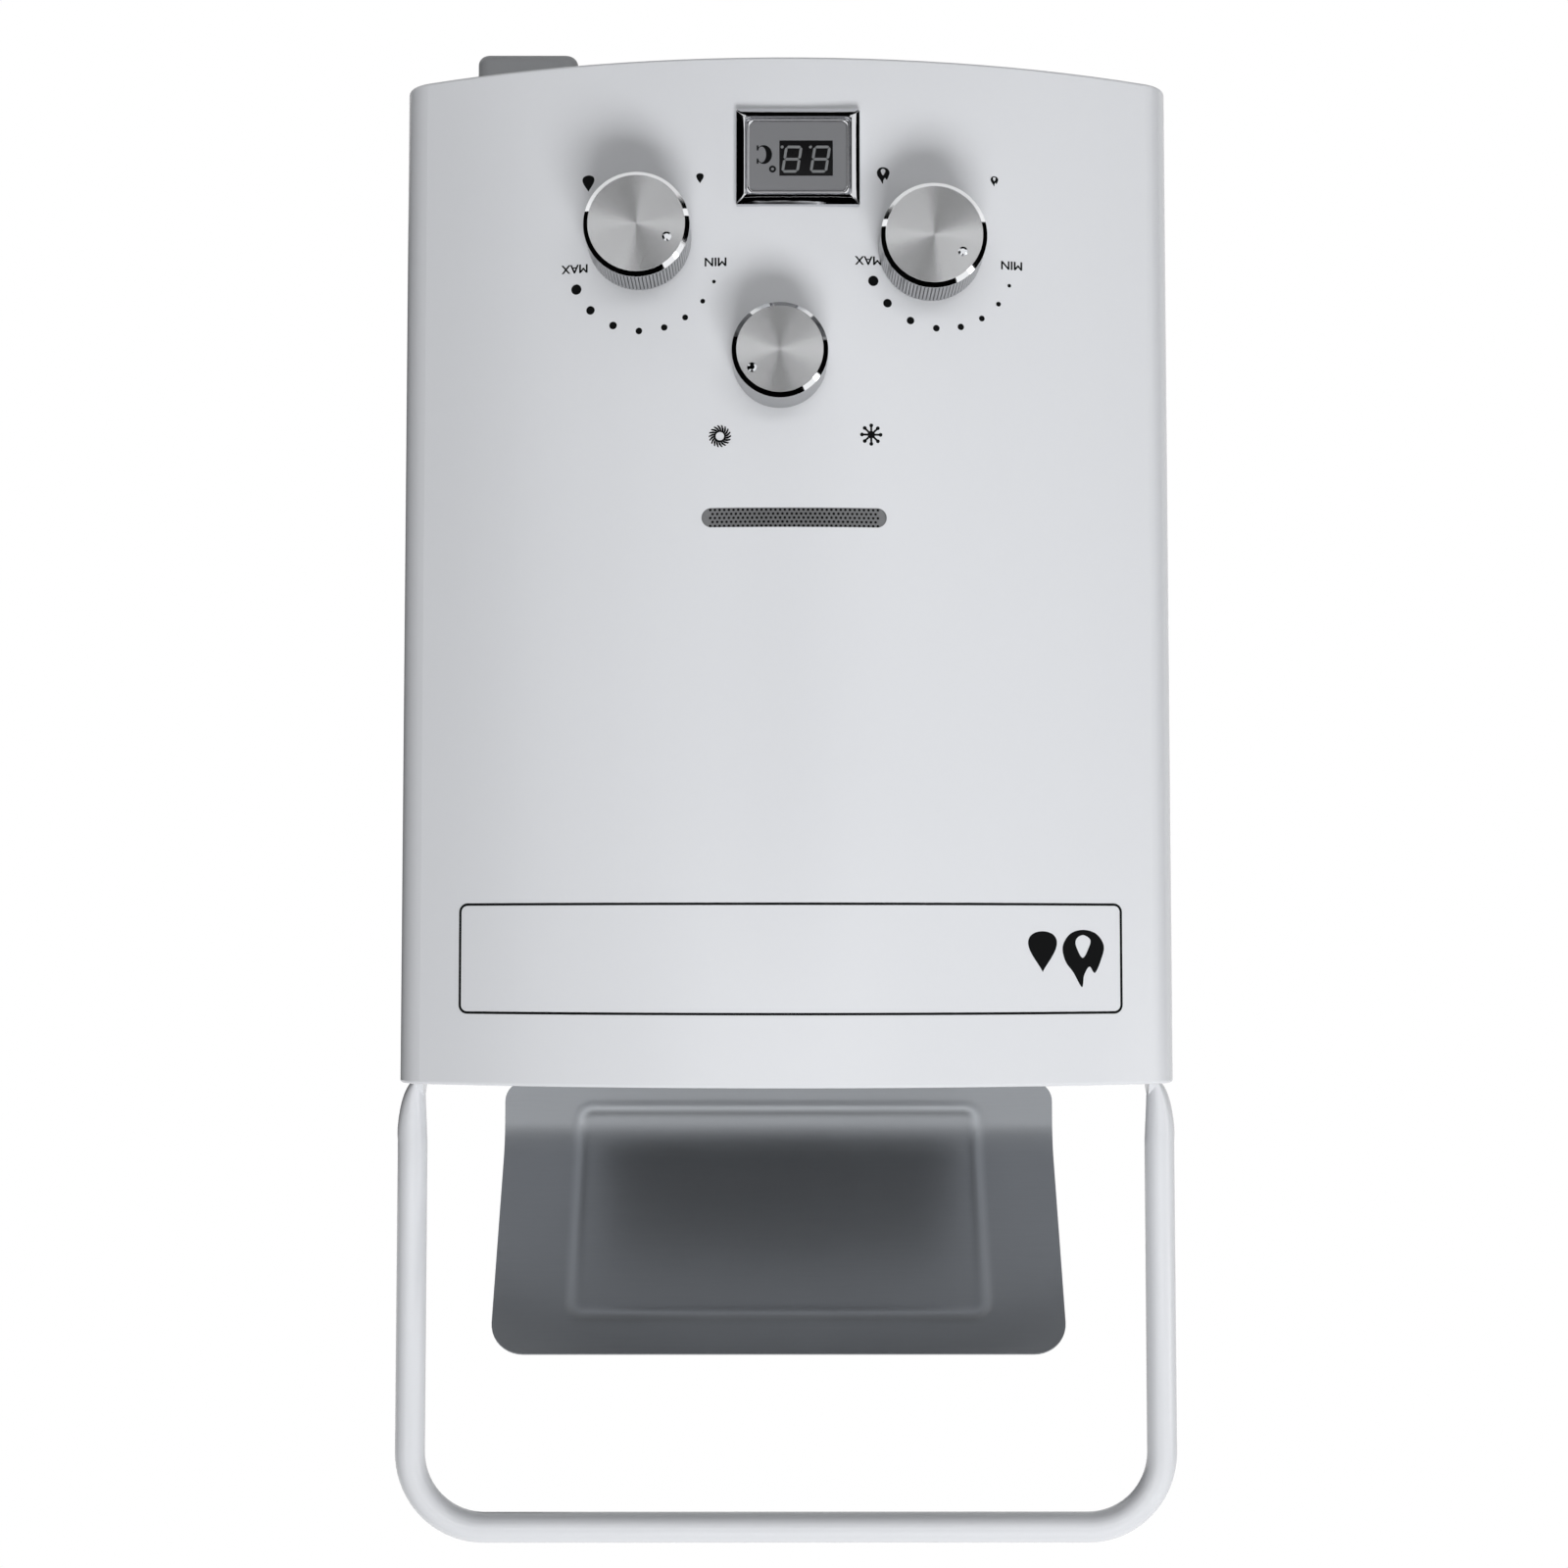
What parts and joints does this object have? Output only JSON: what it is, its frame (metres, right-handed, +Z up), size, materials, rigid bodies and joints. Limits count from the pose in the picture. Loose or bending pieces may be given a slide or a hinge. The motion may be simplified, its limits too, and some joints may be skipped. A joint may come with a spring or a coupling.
{
  "type": "portable propane water heater",
  "caption": "Portable instantaneous gas water heater with a bowed white case, folding carry handle, flue deflector, control knobs, temperature display and battery compartment.",
  "frame": {"origin": "on the back face of the case, midway between the two hanging holes", "axes": "+Y into the wall that the heater hangs on, so that the front faces -Y; +Z up; +X to the right seen from the front"},
  "size_m": [0.3148, 0.1507, 0.584],
  "materials": {
    "aluminised_steel": "aluminised",
    "black_plastic": "moulded",
    "brass": "machined",
    "ceramic": "fired alumina",
    "chrome": "bright plated",
    "copper": "drawn copper",
    "crystal": "faceted",
    "die_cast_aluminium": "die cast",
    "galvanised_steel": "galvanised",
    "grey_abs": "fine texture",
    "grey_fascia": "satin print",
    "nickel_contacts": "nickel plated",
    "nylon": "moulded",
    "spindle_steel": "ground",
    "stainless_sheet": "matt rolled",
    "turned_aluminium": "turned and spun",
    "white_enamel_steel": "gloss powder coat",
    "white_tube": "gloss powder coat",
    "zinc_screws": "zinc plated"
  },
  "bodies": {
    "case": {"back_plate": "galvanised_steel", "battery_box": "grey_abs", "battery_contacts": "nickel_contacts", "bottom_plate": "white_enamel_steel", "bottom_screw_left": "zinc_screws", "bottom_screw_right": "zinc_screws", "burner_bars": "stainless_sheet", "burner_rack": "galvanised_steel", "cold_pipe": "copper", "cold_water_inlet": "brass", "deflector_screw_left": "zinc_screws", "deflector_screw_right": "zinc_screws", "diaphragm_cover": "brass", "display_bezel": "chrome", "display_fascia": "grey_fascia", "display_module": "black_plastic", "drain_plug": "brass", "exchanger_core": "copper", "exchanger_jacket": "copper", "flame_sensor": "ceramic", "flue_deflector": "stainless_sheet", "flue_hood": "aluminised_steel", "front_cover": "white_enamel_steel", "gas_feed": "copper", "gas_inlet": "brass", "gas_manifold": "die_cast_aluminium", "gas_riser": "copper", "gas_valve_body": "die_cast_aluminium", "handle_bolt_left": "zinc_screws", "handle_bolt_right": "zinc_screws", "handle_spacer_left": "nylon", "handle_spacer_right": "nylon", "hot_pipe": "copper", "hot_water_outlet": "brass", "igniter_box": "black_plastic", "ignition_electrode": "ceramic", "micro_switch": "black_plastic", "overheat_thermostat": "aluminised_steel", "season_valve_body": "brass", "top_panel": "white_enamel_steel", "top_screw_left": "zinc_screws", "top_screw_right": "zinc_screws", "viewport_mesh": "stainless_sheet", "water_valve_body": "brass"},
    "handle": {"handle_tube": "white_tube"},
    "gas_knob": {"gas_knob": "turned_aluminium", "gas_knob_face": "turned_aluminium", "gas_knob_stone": "crystal", "gas_spindle": "spindle_steel"},
    "water_knob": {"water_knob": "turned_aluminium", "water_knob_face": "turned_aluminium", "water_knob_stone": "crystal", "water_spindle": "spindle_steel"},
    "season_knob": {"season_knob": "turned_aluminium", "season_knob_face": "turned_aluminium", "season_knob_stone": "crystal", "season_spindle": "spindle_steel"},
    "battery_lid": {"battery_lid": "grey_abs"},
    "push_rod": {"push_rod": "spindle_steel"},
    "switch_lever": {"switch_lever": "spindle_steel"}
  },
  "joints": [
    {"name": "handle_fold", "type": "hinge", "parent": "case", "child": "handle", "pos_m": [0, -0.01, 0.023], "axis": [1, 0, 0], "range_deg": [-170, 138]},
    {"name": "gas_knob_turn", "type": "hinge", "parent": "case", "child": "gas_knob", "pos_m": [-0.0528, -0.14, -0.268], "axis": [0, 1, 0], "range_deg": [-10, 126]},
    {"name": "water_knob_turn", "type": "hinge", "parent": "case", "child": "water_knob", "pos_m": [0.0542, -0.14, -0.272], "axis": [0, 1, 0], "range_deg": [-2, 133]},
    {"name": "season_knob_turn", "type": "hinge", "parent": "case", "child": "season_knob", "pos_m": [0.0026, -0.14, -0.2263], "axis": [0, -1, 0], "range_deg": [0, 108]},
    {"name": "battery_lid_swing", "type": "hinge", "parent": "case", "child": "battery_lid", "pos_m": [0.0998, -0.0131, -0.3459], "axis": [1, 0, 0], "range_deg": [0, 95]},
    {"name": "push_rod_slide", "type": "slide", "parent": "case", "child": "push_rod", "axis": [-1, 0, 0], "range_m": [0, 0.0035], "stiffness_N_per_m": 400},
    {"name": "switch_lever_swing", "type": "hinge", "parent": "case", "child": "switch_lever", "pos_m": [-0.0143, -0.061, -0.244], "axis": [0, 1, 0], "range_deg": [0, 9.4]}
  ],
  "couplings": [
    {"joint": "switch_lever_swing", "follows": "push_rod_slide", "rad_per_m": 45.455}
  ]
}
